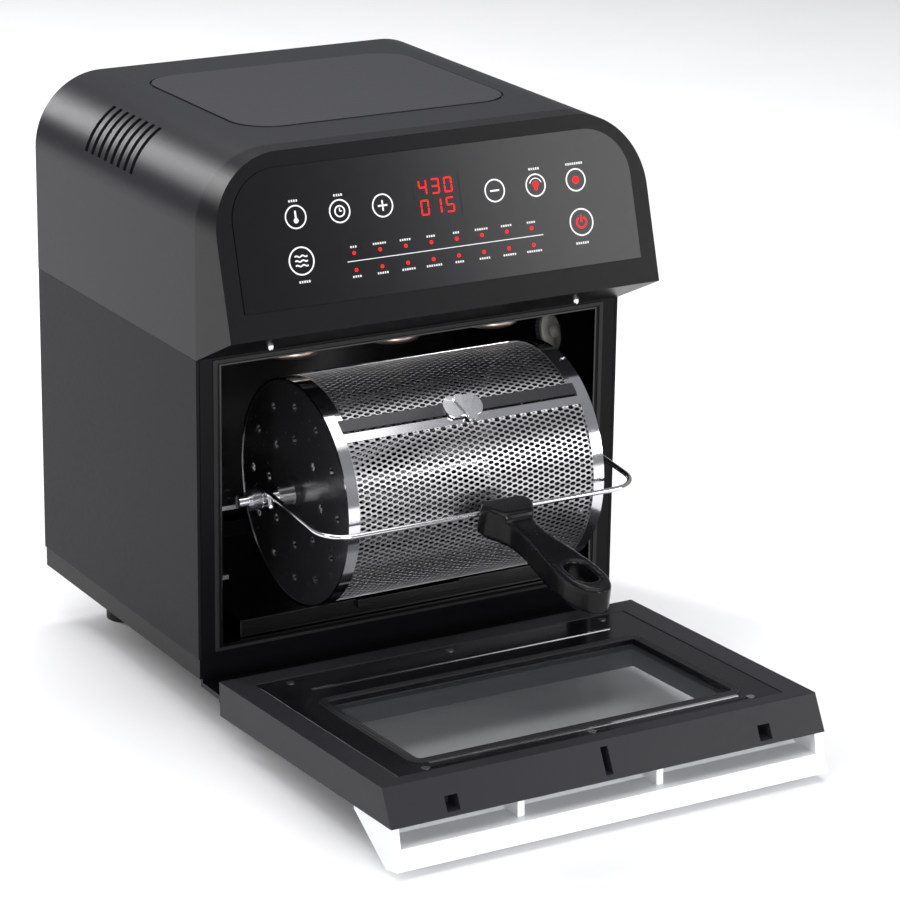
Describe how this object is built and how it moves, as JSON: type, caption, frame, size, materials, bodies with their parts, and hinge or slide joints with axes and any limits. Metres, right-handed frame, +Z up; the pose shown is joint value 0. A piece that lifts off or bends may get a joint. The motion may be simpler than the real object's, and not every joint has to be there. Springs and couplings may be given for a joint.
{
  "type": "rotisserie oven",
  "caption": "Countertop rotisserie oven with a drop-down glass door, sloping touch panel and a mesh drum held by its retrieval tool.",
  "frame": {"origin": "On the table under the middle of the case footprint, between the four feet, with the door down.", "axes": "X to the right seen from the front, Y from the door to the back, Z up."},
  "size_m": [0.32, 0.5285, 0.3924],
  "materials": {
    "charcoal_plastic": "satin",
    "panel_grey": "satin",
    "rear_grey": "satin",
    "inset_grey": "satin",
    "black_plastic": "satin",
    "black_gloss": "gloss",
    "dark_grey_plastic": "satin",
    "silver_plastic": "satin",
    "liner_steel": "satin",
    "bright_steel": "brushed",
    "drum_steel": "bright",
    "chrome": "polished",
    "black_steel": "satin",
    "heater_metal": "oxidised",
    "motor_grey": "satin",
    "rubber_black": "matte",
    "grip_black": "soft touch",
    "clear_glass": "clear",
    "board_green": "matte",
    "red_light": "lit",
    "ceramic_white": "matte",
    "bulb_glass": "clear"
  },
  "bodies": {
    "case": {"base_pan": "black_plastic", "feet": "rubber_black", "foot_screws": "bright_steel", "hinge_pins": "bright_steel", "left_side_panel": "panel_grey", "right_side_panel": "panel_grey", "rear_panel": "rear_grey", "rear_screws": "bright_steel", "cord_inlet": "black_plastic", "top_housing": "charcoal_plastic", "top_plate": "inset_grey", "front_bezel": "black_plastic", "control_panel": "black_gloss", "display_window": "black_gloss", "display_digits": "red_light", "indicator_leds": "red_light", "control_board": "board_green", "power_board": "board_green", "front_frame": "black_plastic", "door_seal": "rubber_black", "oven_liner": "liner_steel", "shaft_rails": "bright_steel", "heater_brackets": "bright_steel", "heating_element": "heater_metal", "fan_cowl": "liner_steel", "fan_motor": "motor_grey", "motor_mount": "bright_steel", "thermal_cutout": "ceramic_white", "lamp_holder": "ceramic_white", "lamp_bulb": "bulb_glass", "lamp_lens": "clear_glass", "drum_motor": "motor_grey"},
    "door": {"door_shell": "dark_grey_plastic", "door_inner_panel": "black_gloss", "inner_glass": "clear_glass", "outer_glass": "clear_glass", "door_strips": "chrome", "hinge_arms": "bright_steel", "door_screws": "bright_steel", "handle_bar": "silver_plastic", "handle_end_caps": "silver_plastic", "handle_ribs": "silver_plastic"},
    "bushing": {"shaft_bushing": "bright_steel"},
    "drum": {"drum_shaft": "chrome", "drum_end_discs": "black_steel", "drum_rims": "chrome", "drum_mesh": "drum_steel", "drum_strips": "chrome", "hatch_rod": "chrome"},
    "hatch": {"drum_hatch": "drum_steel"},
    "latch": {"hatch_latch": "chrome"},
    "drive": {"drive_fork": "bright_steel"},
    "fan": {"convection_fan": "bright_steel", "cooling_fan": "dark_grey_plastic"},
    "left_pin": {"left_catch_pin": "chrome"},
    "right_pin": {"right_catch_pin": "chrome"},
    "tray": {"drip_tray": "liner_steel"},
    "tool": {"tool_wire": "chrome", "tool_grip": "grip_black"}
  },
  "joints": [
    {"name": "door_hinge", "type": "hinge", "parent": "case", "child": "door", "pos_m": [0, -0.1429, 0.026], "axis": [-1, 0, 0], "range_deg": [0, 87.4]},
    {"name": "drum_load", "type": "slide", "parent": "case", "child": "bushing", "axis": [0, 1, 0], "range_m": [0, 0.112]},
    {"name": "drum_spin", "type": "hinge", "parent": "bushing", "child": "drum", "pos_m": [-0.124, -0.1355, 0.16], "axis": [-1, 0, 0], "continuous": true},
    {"name": "drive_spin", "type": "hinge", "parent": "case", "child": "drive", "pos_m": [0.136, -0.0235, 0.16], "axis": [-1, 0, 0], "continuous": true},
    {"name": "hatch_hinge", "type": "hinge", "parent": "drum", "child": "hatch", "pos_m": [0, -0.09963, 0.22746], "axis": [1, 0, 0], "range_deg": [-25, 0]},
    {"name": "latch_turn", "type": "hinge", "parent": "hatch", "child": "latch", "pos_m": [0.002, -0.18525, 0.21929], "axis": [0, -0.6428, 0.766], "range_deg": [0, 90]},
    {"name": "fan_spin", "type": "hinge", "parent": "case", "child": "fan", "pos_m": [0, -0.0185, 0.298], "axis": [0, 0, 1], "continuous": true},
    {"name": "tray_slide", "type": "slide", "parent": "case", "child": "tray", "axis": [0, 1, 0], "range_m": [-0.15, 0]},
    {"name": "left_pin_press", "type": "slide", "parent": "case", "child": "left_pin", "axis": [0, 0, 1], "range_m": [0, 0.003], "stiffness_N_per_m": 600, "springref_m": -0.002},
    {"name": "right_pin_press", "type": "slide", "parent": "case", "child": "right_pin", "axis": [0, 0, 1], "range_m": [0, 0.003], "stiffness_N_per_m": 600, "springref_m": -0.002},
    {"name": "tool_draw", "type": "slide", "parent": "case", "child": "tool", "axis": [0, -0.866, 0.5], "range_m": [0, 0.306]}
  ],
  "couplings": [
    {"joint": "drum_load", "follows": "door_hinge", "m_per_rad": 0.0734},
    {"joint": "tool_draw", "follows": "door_hinge", "m_per_rad": 0.2},
    {"joint": "drive_spin", "follows": "drum_spin", "ratio": 1}
  ]
}
